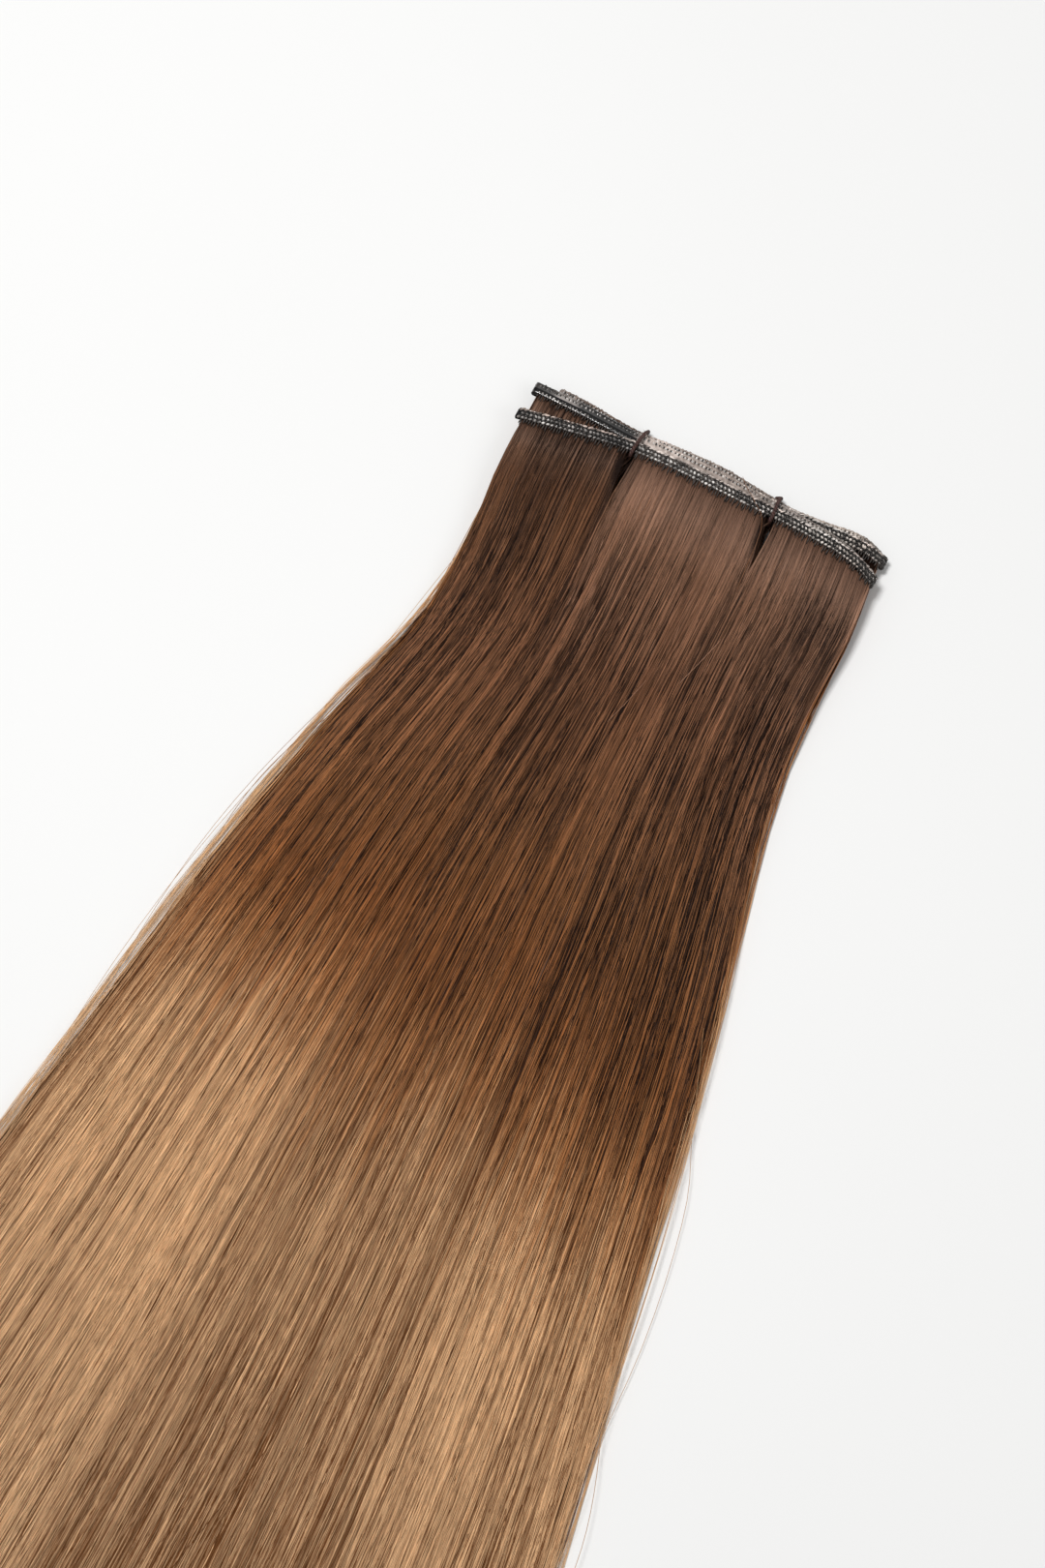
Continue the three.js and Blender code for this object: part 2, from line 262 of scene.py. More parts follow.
class Nodes:
    """A material's nodes, added and linked by short calls."""

    def __init__(self, name):
        self.material = bpy.data.materials.new(name)
        self.material.use_nodes = True
        self.tree = self.material.node_tree
        self.shader = self.tree.nodes["Principled BSDF"]

    def feed(self, node, sources):
        """Links sockets to inputs of a node, and sets its other inputs to plain values."""
        for socket, source in sources.items():
            if isinstance(source, bpy.types.NodeSocket):
                self.tree.links.new(source, node.inputs[socket])
            else:
                node.inputs[socket].default_value = source

    def shade(self, **sources):
        """Feeds the shader's inputs, with _ for each blank in their names."""
        self.feed(self.shader, {socket.replace("_", " "): source for socket, source in sources.items()})

    def add(self, kind, output, sources=None, **settings):
        """Adds a node and gives one of its outputs."""
        node = self.tree.nodes.new(f"ShaderNode{kind}")
        for key, value in settings.items():
            setattr(node, key, value)
        self.feed(node, sources or {})
        return node.outputs[output]

    def noise(self, vector, scale, detail):
        return self.add("TexNoise", "Fac", {"Vector": vector, "Scale": scale, "Detail": detail})

    def between(self, factor, low, high):
        return self.add("MapRange", 0, {"Value": factor, "To Min": low, "To Max": high})

    def mix(self, factor, first, second, **settings):
        sources = {MIX_FACTOR: factor, MIX_FIRST: first, MIX_SECOND: second}
        return self.add("Mix", MIX_RESULT, sources, data_type="RGBA", **settings)

    def relief(self, grain, strength):
        return self.add("Bump", "Normal", {"Height": grain, "Strength": strength, "Distance": RELIEF * MM})

    def ramp(self, factor, stops):
        node = self.tree.nodes.new("ShaderNodeValToRGB")
        while len(node.color_ramp.elements) < len(stops):
            node.color_ramp.elements.new(0.5)
        for element, (place, colour) in zip(node.color_ramp.elements, stops):
            element.position = place
            element.color = linear(colour)
        self.feed(node, {"Fac": factor})
        return node.outputs["Color"]


# Colours along the hair, for its darkest and its lightest hairs. The paler, pinkish colours of the lightest
# hairs near the root are a painted sheen
DARK_HAIR = ((0.0, (30, 18, 13)), (0.03, (36, 21, 14)), (0.12, (34, 17, 8)), (0.24, (36, 16, 5)),
             (0.31, (40, 18, 4)), (0.37, (78, 40, 14)), (0.43, (114, 67, 28)), (1.0, (122, 77, 39)))
LIGHT_HAIR_AND_ROOT_SHEEN = ((0.0, (168, 128, 106)), (0.02, (204, 158, 131)), (0.05, (194, 143, 111)),
              (0.12, (172, 120, 87)), (0.24, (178, 119, 73)), (0.31, (180, 114, 63)),
              (0.37, (218, 156, 101)), (0.43, (248, 203, 154)), (1.0, (246, 210, 168)))
# Mottling along single hairs: how fast it changes with tone and place, and its strength
MOTTLE_SCALE = (160, 12, 1)
MOTTLE_CONTRAST = 1.1


def hair_material():
    """Colour from two numbers kept in the UV map: tone from dark to light, and place along the hair."""
    made = Nodes("hair")
    kept = made.add("UVMap", "UV", uv_map=UV_MAPS[0])
    tone = made.add("SeparateXYZ", "X", {"Vector": kept})
    place = made.add("SeparateXYZ", "Y", {"Vector": kept})
    mottle = made.noise(made.add("Mapping", "Vector", {"Vector": kept, "Scale": MOTTLE_SCALE}), 1.0, 2.0)
    spread = {0: mottle, 1: MOTTLE_CONTRAST, 2: -MOTTLE_CONTRAST / 2}
    lighter = made.add("Math", 0, spread, operation="MULTIPLY_ADD")
    mottled = made.add("Math", 0, {0: tone, 1: lighter}, operation="ADD", use_clamp=True)
    colour = made.mix(mottled, made.ramp(place, DARK_HAIR), made.ramp(place, LIGHT_HAIR_AND_ROOT_SHEEN))
    made.shade(Base_Color=colour, Roughness=made.between(mottle, 0.34, 0.5), Specular_IOR_Level=0.1)
    return made.material


def grained_material(name, dark, light, roughness, scale, bump, detail=GRAIN_DETAIL):
    """Two shades mottled by noise, with the same noise as a fine bump."""
    made = Nodes(name)
    grain = made.noise(made.add("TexCoord", "Object"), scale, detail)
    colour = made.ramp(grain, ((0.3, dark), (0.7, light)))
    made.shade(Base_Color=colour, Roughness=made.between(grain, *roughness), Normal=made.relief(grain, bump))
    return made.material


# Painted reflection along the band: x, and the colour there. The coats, stitches and ground between them are
# lighter where the band's faces would mirror the key light and darker where they face away from it
COAT_SPAN = 60.0
COAT_BUMP = 0.4
UPPER_COAT_REFLECTION = ((-55, (50, 45, 42)), (-50, (58, 53, 50)), (-47, (164, 156, 150)), (-43, (158, 149, 144)),
              (-40, (38, 34, 32)), (-24, (28, 25, 24)), (-20, (230, 214, 204)), (-12, (222, 206, 196)),
              (-4, (188, 172, 162)), (12, (174, 158, 148)), (22, (162, 150, 142)), (28, (176, 162, 154)),
              (38, (150, 140, 132)), (52, (70, 66, 64)))
LOWEST_COAT_REFLECTION = ((-48, (150, 136, 128)), (-36, (128, 106, 92)), (-23, (112, 90, 77)), (-19, (250, 232, 222)),
               (-9, (190, 174, 164)), (4, (156, 140, 130)), (18, (160, 145, 135)), (29, (208, 192, 180)),
               (42, (202, 187, 175)), (53, (92, 86, 82)))
STITCH_REFLECTION = ((-55, (130, 122, 116)), (-48, (236, 230, 224)), (-38, (214, 207, 202)), (-25, (92, 87, 84)),
               (-19, (255, 250, 244)), (2, (255, 250, 244)), (14, (228, 220, 213)), (28, (204, 196, 188)),
               (38, (255, 246, 236)), (47, (236, 222, 210)), (55, (110, 106, 103)))
RIM_REFLECTION = ((-55, (190, 170, 158)), (-48, (255, 232, 218)), (-38, (236, 212, 199)), (-25, (196, 180, 170)),
            (-18, (255, 240, 230)), (20, (255, 236, 224)), (38, (255, 248, 240)), (47, (255, 236, 224)),
            (55, (150, 140, 132)))
SHADE_THREAD_REFLECTION = ((-55, (80, 73, 69)), (-40, (84, 77, 73)), (-25, (46, 42, 40)), (-19, (112, 104, 98)),
              (5, (104, 96, 90)), (20, (80, 74, 70)), (40, (92, 85, 80)), (55, (54, 50, 48)))
GROUND_REFLECTION = ((-55, (16, 14, 14)), (-23, (10, 9, 9)), (-20, (58, 53, 50)), (-5, (66, 60, 56)),
               (6, (34, 31, 29)), (14, (10, 9, 9)), (50, (14, 13, 13)), (54, (70, 66, 63)))


def coating_material(name, stops, scale=700, darkest=(170, 165, 162), roughness=(0.2, 0.45), coat=0.8):
    """Glossy coat with a painted reflection that changes along the band, mottled by noise."""
    made = Nodes(name)
    place = made.add("TexCoord", "Object")
    limits = {"From Min": -COAT_SPAN * MM, "From Max": COAT_SPAN * MM}
    share = made.add("MapRange", 0, {"Value": made.add("SeparateXYZ", "X", {"Vector": place}), **limits})
    shade = made.ramp(share, [(0.5 + x / (2 * COAT_SPAN), colour) for x, colour in stops])
    grain = made.noise(place, scale, GRAIN_DETAIL)
    mottle = made.ramp(grain, ((0.35, darkest), (0.65, (255, 255, 255))))
    colour = made.mix(1.0, shade, mottle, blend_type="MULTIPLY")
    gloss = made.between(grain, *roughness)
    made.shade(Base_Color=colour, Roughness=gloss, Normal=made.relief(grain, COAT_BUMP))
    made.shade(Coat_Weight=coat, Specular_IOR_Level=0.15 + 0.4 * coat)
    return made.material


HAIR = hair_material()
# Stitch beads: painted reflection along the band, mottled at about their own size so that some beads show a
# painted glint
STITCH = coating_material("stitch_thread", STITCH_REFLECTION, 420, (60, 57, 55), (0.1, 0.3))
RIM = coating_material("rim_thread", RIM_REFLECTION, 420, (80, 76, 73), (0.1, 0.3))
SHADE = coating_material("shade_thread", SHADE_THREAD_REFLECTION, 600, (80, 76, 73), (0.25, 0.5), 0.4)
GROUND = coating_material("band_ground", GROUND_REFLECTION, 900, (90, 86, 84), (0.4, 0.6), 0.0)
BINDING = grained_material("root_thread", (24, 20, 18), (76, 66, 60), (0.4, 0.6), 900, 0.3)
DASH = grained_material("dash_thread", (12, 10, 9), (40, 34, 31), (0.3, 0.5), 900, 0.3)
COATING = coating_material("band_coating", UPPER_COAT_REFLECTION)
LOWEST_COATING = coating_material("band_coating_lowest", LOWEST_COAT_REFLECTION)
THREAD = grained_material("tie_thread", (38, 20, 17), (88, 55, 47), (0.5, 0.75), 1400, 0.6)
PAPER = grained_material("floor_paper", (243, 243, 242), (245, 245, 244), (0.7, 0.7), 3, 0.0, 2.0)


# Lie of the hair

def lock_columns(curtain):
    """Crowns and valleys of a curtain's locks: their place at the root, and what is missing at the tips."""
    limits = (curtain["left"], -TIE_X, TIE_X, curtain["right"])
    level = curtain["level"]
    xs, valley = [], []
    for panel, count in enumerate(curtain["locks"]):
        half = (limits[panel + 1] - limits[panel]) / (2 * count)
        for i in range(0 if panel == 0 else 1, 2 * count + 1):
            inner = 0 < i < 2 * count
            phase = 2.3 * i + 1.7 * level
            wander = LOCK_WANDER * half * math.sin(phase) if inner else 0
            xs.append(limits[panel] + i * half + wander)
            valley.append(i % 2 == 0)
    valley = np.array(valley)
    uneven = TIP_UNEVEN * (1 + np.sin(1.9 * np.arange(len(xs)) + level)) / 2
    return np.array(xs), np.where(valley, TIP_NOTCH, uneven), valley * LOCK_GROOVE


def lay(run, root_x, out, notch=1.0):
    """Where hair from root_x lies, out from its root: x, y, the underside and thickness of its curtain."""
    curtain = CURTAINS[run]
    xs, missing, grooved = lock_columns(curtain)
    share = np.clip(out, 0, None) / HAIR_LENGTH
    root_y = band_line[run](root_x) - BAND_HEIGHT / 2 - ROOT_GAP
    shorter = notch * np.interp(root_x, xs, missing) * share**TIP_SHARPNESS
    below = -root_y + out * curtain["reach"] - shorter
    left, right = fan_left(-root_y), fan_right(-root_y)
    root_share = (root_x - left) / (right - left)
    own_share = mix(*curtain["fills"], (root_x - curtain["left"]) / (curtain["right"] - curtain["left"]))
    across = mix(root_share, own_share, ease(out, 0, SPREAD_LENGTH))
    x = mix(fan_left(below), fan_right(below), across)
    for tie_x in (-TIE_X, TIE_X):
        aside = root_x - tie_x
        opening = SLIT_HALF_WIDTH[run] * (1 - ease(below, SLIT_START, SLIT_START + SLIT_LENGTH[run]))
        x = x + np.sign(aside) * opening * np.clip(1 - np.abs(aside) / SLIT_REACH, 0, 1)
    outward = np.abs(2 * across - 1)
    drop_length = DROP_LENGTH + DROP_LENGTH_AT_EDGES * outward**2
    drop = TABLE_DROP * ease(below, DROP_START, DROP_START + drop_length)
    pitch = layer_pitch(below) * (1 - (1 - edge_share(below)) * outward**EDGE_SHARPNESS)
    groove = np.interp(root_x, xs, grooved) * ease(out, 0, LOCK_GROOVE_START)
    thickness = pitch * HAIR_FILL * (1 - groove) * mix(1, TIP_THICKNESS, share**TIP_SHARPNESS)
    return x, -below, curtain["level"] * pitch - drop, thickness


def across_curtain(root_x, run):
    """From -1 at the left edge of a curtain to 1 at its right edge."""
    curtain = CURTAINS[run]
    return 2 * (root_x - curtain["left"]) / (curtain["right"] - curtain["left"]) - 1


# The outermost hair of every run draws in to one line, but for a few hairs, and settles towards the table
LEFT_INSET = 3.4
RIGHT_INSET = 1.6
EDGE_RAGGED = 1.3
EDGE_SETTLE = 0.6


def draw_in(run, side, out):
    """How far in from its edge of the fan the outermost hair lies."""
    width = fan_right(out) - fan_left(out)
    first, last = CURTAINS[run]["fills"]
    inset = np.where(side < 0, LEFT_INSET - first * width, RIGHT_INSET - (1 - last) * width)
    each = (len(side), 1)
    stays = rng.random(each) < 0.1
    share = np.where(stays, rng.uniform(0, 1, each), rng.uniform(0.5, 1, each))
    ragged = rng.uniform(-EDGE_RAGGED, EDGE_RAGGED, each) * ease(np.abs(side), 0.94, 0.99)
    drawn = share * np.clip(inset, 0, None) * ease(np.abs(side), 0.9, 1)
    return (drawn + ragged) * ease(out, 25, 100)


def settle(z, side, out):
    """Hair near the edges of the fan lies lower the further it is from the band."""
    return z - EDGE_SETTLE * (z + TABLE_DROP) * ease(np.abs(side), 0.8, 1) * ease(out, 50, 140)


# Tones of the hair: 0 is the darkest hair and 1 the lightest
MIDDLE_TONE = 0.46
BLONDE = (130, 240)
LOWLIGHTS = {
    "across": (-1.0, -0.9, -0.8, -0.6, -0.4, -0.2, 0.0, 0.15, 0.35, 0.5, 0.7, 0.85, 1.0),
    "tone": (-0.05, 0.16, 0.38, 0.13, 0.36, 0.02, 0.04, -0.06, 0.05, 0.23, 0.22, 0.11, 0.04),
}
lowlight = through(LOWLIGHTS, "across", "tone")
BROWN_LOWLIGHTS = 0.2
# Lit places near the band: x, distance from the root, their spreads and tone
LIT = ((-11.5, 10, 7, 12, 0.22), (31, 52, 6, 22, 0.2))
# The panel left of the left tie is in shade near the band, less so at its edge and in its inner half
PANEL_END = (-TIE_X, -TIE_X + 4)
# Regions: their tone, and where they start and end across the curtain, in x at the root and out from the root
REGIONS = {
    # Painted shade where the hair leaves the band
    "roots": dict(tone=-0.15, out_end=(0, 3)),
    # The left rim is painted lighter, as light shining through the thin hair at its edge
    "left_rim_painted_glow": dict(tone=0.12, end=(-1, -0.94)),
    "left_inside_rim": dict(tone=-0.12, end=(-0.92, -0.82), out_start=(50, 90)),
    # The right rim is painted lighter, as light shining through the thin hair at its edge, more so near the
    # band
    "right_rim_painted_glow": dict(tone=0.25, start=(0.965, 0.998)),
    "right_rim_painted_glow_near_band": dict(tone=0.25, start=(0.965, 0.998), out_end=(70, 130)),
    "right_near_band": dict(tone=-0.25, start=(0.55, 0.85), out_start=(6, 18), out_end=(22, 50)),
    "right_brown": dict(tone=-0.182, start=(0.25, 0.6), out_start=(6, 40), out_end=BLONDE),
    "right_brown_inside": dict(tone=-0.078, start=(0.25, 0.6), end=(0.84, 0.94), out_start=(6, 40),
                               out_end=BLONDE),
    "middle": dict(tone=-0.14, start=(-0.4, -0.2), end=(0, 0.15), out_start=(15, 30), out_end=(75, 120)),
    "low": dict(tone=-0.23, out_start=(265, 335)),
    "low_right": dict(tone=-0.1, start=(0.4, 0.7), out_start=(265, 335)),
    "panel": dict(tone=-0.21, x_end=PANEL_END, out_end=(45, 95)),
    "panel_inside_edge": dict(tone=-0.09, x_start=(-52, -44), x_end=PANEL_END, out_end=(45, 95)),
    "panel_inner_half": dict(tone=0.15, x_start=(-40, -32), x_end=PANEL_END, out_start=(10, 25),
                             out_end=(45, 95)),
}
# Roots of the lower runs are dark at the right, where the runs above them leave a narrow gap
GAP_SHADE = 0.7
# Dark hair in the shade of each tie, at its left
WEDGE_SHADE = 0.5
WEDGE_SHADE_IN_CORE = 0.3
WEDGE_ASIDE = 0.8
WEDGE_WIDTH = 0.9


def region_tone(places, tone, start=None, end=None, x_start=None, x_end=None, out_start=None, out_end=None):
    """The tone of a region, eased in and out across the curtain, along x and out from the root."""
    for at, rise, fall in zip(places, (start, x_start, out_start), (end, x_end, out_end)):
        if rise:
            tone = tone * ease(at, *rise)
        if fall:
            tone = tone * (1 - ease(at, *fall))
    return tone


def gap_shade(root_x, out, run):
    """How dark the gap under the upper runs is."""
    return GAP_SHADE * ease(root_x, 32, 42) * (1 - ease(out, 5, 14)) * (run in "bc")


def wedge(root_x, out):
    """How much of the shade beside a tie reaches a place."""
    aside = [(root_x - tie_x + WEDGE_ASIDE) / WEDGE_WIDTH for tie_x in (-TIE_X, TIE_X)]
    return sum(np.exp(-(share**2)) for share in aside) * (1 - ease(out, 5, 17))


def tone_along(root_x, out, run):
    """Lighter and darker regions of a whole curtain."""
    across = across_curtain(root_x, run)
    tone = lowlight(across) * mix(BROWN_LOWLIGHTS * ease(out, 20, 90), 1, ease(out, *BLONDE))
    for x, from_root, spread_x, spread_out, lit in LIT:
        tone = tone + lit * np.exp(-(((root_x - x) / spread_x) ** 2) - ((out - from_root) / spread_out) ** 2)
    for region in REGIONS.values():
        tone = tone + region_tone((across, root_x, out), **region)
    return tone - gap_shade(root_x, out, run) - WEDGE_SHADE * wedge(root_x, out)


# How many millimetres sooner the hair turns light, across the curtain and in the left panel
FADE = {"across": (-1, -0.8, -0.4, -0.1, 0.2, 0.5, 0.8, 1), "sooner": (-4, 17, 6, -2, 6, 1, -7, 4)}
sooner = through(FADE, "across", "sooner")
# In the left panel near the band the hair takes its colours from further along, a deeper brown without the
# painted root sheen, as part of the panel's painted shade
PANEL_SHADE_SOONER = 75.0


def fade_shift(root_x, out, run):
    """How much nearer to the band the hair takes on its colours."""
    panel = PANEL_SHADE_SOONER * (1 - ease(root_x, -TIE_X - 3, -TIE_X + 2))
    near_band = ease(out, 3, 20) * (1 - ease(out, 0, 75))
    return sooner(across_curtain(root_x, run)) * ease(out, 140, 175) + panel * near_band


# Packed hair inside the curtains

# Heights of its upper and lower sides in the curtain
CORE_HEIGHTS = {"a": (0.66, 0.2), "b": (0.66, 0.2), "c": (0.66, 0.2), "d": (0.8, 0.6)}
CORE_END = HAIR_LENGTH - 60.0
CORE_OUT = np.r_[np.arange(0, 24, 4), np.geomspace(24, CORE_END, 22)]
CORE_PITCH = 1.1
CORE_GAP = 0.02
# Columns that the inset would lay on each other keep this share of their distance
CORE_SQUEEZE = 0.02


def closed_sheet(top, bottom):
    """Faces of a closed sheet, from the grids of point numbers on its two sides."""
    rims = [np.r_[s[:, 0], s[-1, 1:], s[-2::-1, -1], s[0, -2:0:-1]] for s in (top, bottom)]
    return [
        np.stack([top[:-1, :-1], top[1:, :-1], top[1:, 1:], top[:-1, 1:]], -1).reshape(-1, 4),
        np.stack([bottom[:-1, :-1], bottom[:-1, 1:], bottom[1:, 1:], bottom[1:, :-1]], -1).reshape(-1, 4),
        np.stack([np.roll(rims[0], -1), rims[0], rims[1], np.roll(rims[1], -1)], -1),
    ]


def core(run):
    """The closely packed hair inside a curtain, as closed sheets left of, between and right of the ties."""
    limits = (CURTAINS[run]["left"], -TIE_X, TIE_X, CURTAINS[run]["right"])
    points, quads, uv = [], [], []
    for start, end in zip(limits, limits[1:]):
        root_x = np.linspace(start + CORE_GAP, end - CORE_GAP, int((end - start) / CORE_PITCH))
        columns, out = np.meshgrid(root_x, CORE_OUT)
        inset = mix(0.4, 3.5, ease(out, 8, 40))
        first = limits[0] + inset + CORE_SQUEEZE * (columns - start)
        last = limits[-1] - inset - CORE_SQUEEZE * (end - columns)
        columns = np.clip(columns, first, last)
        x, y, under, thickness = lay(run, columns, out)
        side = across_curtain(columns, run)
        heights = [settle(under + thickness * share, side, out) for share in CORE_HEIGHTS[run]]
        index = np.arange(2 * columns.size).reshape(2, *columns.shape) + sum(len(p) for p in points)
        quads += closed_sheet(*index)
        points += [np.stack([x, y, z], -1).reshape(-1, 3) for z in heights]
        # The packed hair is painted dark, as shade deep in the hair, and less dark near the band
        tone = mix(0.34, 0.1, ease(out, 10, 60)) + rng.normal(0, 0.06, root_x.size)
        shade = gap_shade(columns, out, run) + WEDGE_SHADE_IN_CORE * wedge(columns, out)
        tone = np.clip(tone - shade, 0.02, 0.98)
        place = (out + fade_shift(columns, out, run)) / HAIR_LENGTH
        uv += [np.stack([tone, place], -1).reshape(-1, 2)] * 2
    add_piece(f"hair_{run}_core", np.concatenate(points), [np.concatenate(quads)], [HAIR],
              [f"hair_run_{run}"], np.concatenate(uv))


# Single hairs

# Places along a hair, from just inside the band to the tip
HAIR_STEPS = np.array([-1.2, 3, 8, 16, 28, 44, 62, 82, 104, 130, 165, 205, 250, 300, 350, 400, 450, 500])
STEP_JITTER = 0.45
# Width of a hair along it, by steps
TAPER = ((0, 20, 420, 500), (0.9, 1, 0.9, 0.4))
# Stitches hold the roots in tufts
STITCH_PITCH = 1.2
TUFT_PULL = 0.55
# Wisps, fine wisps and locks gather and shade the hairs
WISP_PITCH = 1.25
WISP_WAVE = 260.0
FINE_WISP_PITCH = 0.42
FINE_WISP_PULL = 0.3
FINE_WISP_TONE = 0.1
LOCK_PITCH = 3.4
LOCK_RAGGED = 0.12
LOCK_TONE = 0.09
# Each hair's own wander by steps, its height and its tone
WANDER = ((8, 28, 82, 190, 500), (0, 0.1, 0.25, 0.45, 0.7))
HEIGHTS_IN_CURTAIN = (0.1, 0.9)
DARKER_TONE = 0.4
DARKER_SHARE = 0.18
# Single hairs differ more in tone in the brown
BROWN_CONTRAST = 0.35
# Layers of single hairs: run, number, heights in its curtain, radii and any share of strays
LAYERS = {
    "hair_d": ("d", 1400, (0, 0.6), (0.12, 0.2)),
    "hair_c": ("c", 450, (0, 1), (0.13, 0.22)),
    "hair_b": ("b", 600, (0, 1), (0.13, 0.22)),
    "hair_a_inner": ("a", 850, (0.2, 0.8), (0.12, 0.19)),
    "hair_a_middle": ("a", 1600, (0.45, 0.9), (0.1, 0.16)),
    "hair_a_outer": ("a", 1850, (0.6, 1.05), (0.075, 0.13), 0.05),
}


def uneven_steps(count):
    """Places along many hairs, different for each so that the bends of their meshes don't line up."""
    gap = np.diff(HAIR_STEPS)
    room = np.r_[0, np.minimum(gap[:-1], gap[1:]), 0]
    return HAIR_STEPS + rng.uniform(-STEP_JITTER, STEP_JITTER, (count, len(HAIR_STEPS))) * room


def draw_wisps(left, right):
    """Wisps along the roots of a curtain: where each is, and what it does to its hairs."""
    count = int((right - left) / WISP_PITCH)
    return dict(
        x=left + (np.arange(count) + 0.5 + rng.uniform(-0.4, 0.4, count)) * WISP_PITCH,
        pull=rng.uniform(0.05, 0.35, count),
        lift=rng.uniform(0, 1, count),
        tone=rng.normal(0, 0.06, count),
        shift=rng.normal(0, 7.0, count),
        sway=rng.normal(0, 0.35, count),
        phase=rng.uniform(0, 1, count),
    )


def draw_group_tones(width):
    """Tones of the fine wisps, which change along them, and of the locks."""
    fine_wisps = int(width / FINE_WISP_PITCH) + 1
    whole = rng.normal(0, FINE_WISP_TONE, (fine_wisps, 1))
    along = rng.normal(0, FINE_WISP_TONE, (fine_wisps, len(HAIR_STEPS)))
    return whole + along, rng.normal(0, LOCK_TONE, int(width / LOCK_PITCH) + 1)


def draw_lengths(count):
    """Places along many hairs, as steps of a whole hair and as distances out from the root."""
    each = (count, 1)
    short = rng.random(each) < 0.3
    length = np.where(short, rng.uniform(0.72, 1, each), rng.uniform(0.95, 1, each))
    steps = uneven_steps(count)
    return steps, steps * length


def gather(root_x, steps, out, limits, wisp, fine, stray):
    """Where hairs lie between the limits of their curtain, by the root_x that leads there at each place."""
    left, right = limits
    tuft_x = left + (np.floor((root_x - left) / STITCH_PITCH) + 0.5) * STITCH_PITCH
    fine_x = left + (fine[:, None] + 0.5) * FINE_WISP_PITCH
    sway = np.abs(rng.normal(0, 0.4, root_x.shape)) + stray * rng.uniform(0.8, 2.6, root_x.shape)
    wave = out / rng.uniform(130, 420, root_x.shape) + rng.uniform(0, 1, root_x.shape)
    spread = (right - left) / (fan_right(out) - fan_left(out))
    along = (
        root_x
        + (tuft_x - root_x) * TUFT_PULL * (1 - ease(out, 0, 5))
        + (fine_x - root_x) * FINE_WISP_PULL * ease(out, 8, 30)
        + (wisp["x"] - root_x) * wisp["pull"] * ease(out, 8, 80)
        + wisp["sway"] * np.sin(TURN * (out / WISP_WAVE + wisp["phase"])) * ease(out, 20, 160)
        + sway * np.sin(TURN * wave) * ease(out, 15, 150)
        + rng.normal(0, 1, out.shape) * np.interp(steps, *WANDER) * spread
    )
    along = left + np.abs(along - left)
    return right - np.abs(right - along)


def strands(name, run, count, heights, radius, loose=0.0):
    """Single hairs of one curtain, gathered into fine wisps and rooted in the stitches of its run."""
    limits = (CURTAINS[run]["left"], CURTAINS[run]["right"])
    left, right = limits
    each = (count, 1)
    wisps = draw_wisps(left, right)
    fine_tones, lock_tones = draw_group_tones(right - left)
    root_x = rng.uniform(left, right, each)
    nearest = np.abs(root_x - wisps["x"]).argmin(axis=1)[:, None]
    wisp = {key: values[nearest] for key, values in wisps.items()}
    fine = np.floor((root_x[:, 0] - left) / FINE_WISP_PITCH).astype(int)
    lock = np.floor((root_x - left) / LOCK_PITCH + rng.normal(0, LOCK_RAGGED, each)).astype(int)
    lock = np.clip(lock, 0, len(lock_tones) - 1)
    stray = rng.random(each) < loose
    steps, out = draw_lengths(count)
    along = gather(root_x, steps, out, limits, wisp, fine, stray)

    x, y, under, thickness = lay(run, along, out, notch=rng.uniform(0.1, 1.2, each))
    side = across_curtain(along, run)
    x = x - np.sign(side) * draw_in(run, side, out)
    own_height = rng.uniform(*heights, each)
    height = own_height + rng.normal(0, 0.1, out.shape) * ease(out, 8, 50)
    lift = (0.3 * wisp["lift"] + 0.25 * stray) * ease(out, 6, 50) * ease(height, 0.6, 1.0)
    z = settle(under + thickness * mix(*HEIGHTS_IN_CURTAIN, height) + lift, side, out)
    radii = rng.uniform(*radius, each) * np.interp(steps, *TAPER)
    paths = np.stack([x, y, np.maximum(z, radii - TABLE_DROP)], -1)

    own_tone = rng.normal(0, 0.32, each) - DARKER_TONE * (rng.random(each) < DARKER_SHARE)
    begun = ease(out, 5, 65)
    contrast = mix(0.4, 1, begun) + BROWN_CONTRAST * begun * (1 - ease(out, 150, 230))
    tone = MIDDLE_TONE + (own_tone + fine_tones[fine] + wisp["tone"]) * contrast
    tone = tone + lock_tones[lock] * ease(out, 150, 230) + tone_along(along, out, run)
    shift = (wisp["shift"] + rng.normal(0, 10.0, each)) * ease(out, 60, 160)
    # Hairs at the left edge turn light sooner: painted light shining through the thin edge
    golden = rng.uniform(0, 110, each) * ease(-side, 0.965, 1) * ease(out, 5, 60)
    place = (out + shift + golden + fade_shift(root_x, out, run)) / HAIR_LENGTH
    hairs(name, paths, radii, tone, place, [f"hair_run_{run}"])


# Band

RUN_STEPS = 90
FOLD_STEPS = 18
BAND_ACROSS = np.array([0.0, 1.0, 0.0])
# Distance over which the direction along the band is measured, each way
ALONG_REACH = 0.3
# The section of the strip: how far its corners are cut off, its ribs and its points
CUT_HEIGHT = 0.25
CUT_THICKNESS = 0.3
RIB_PITCH = 1.15
RIB_DEPTH = 0.2
RIB_POINTS = 19
BACK_POINTS = 7
# Faces round the section that are on its back, and those of them that are dark left of the left tie
BACK_FACES = slice(2, 2 + BACK_POINTS)
CHANNEL_FACES = slice(3, 5)
# The strip swells in its folds and rounds off at its ends
FOLD_SWELL = 0.15
END_SIZE = 0.7
END_REACH = 0.35


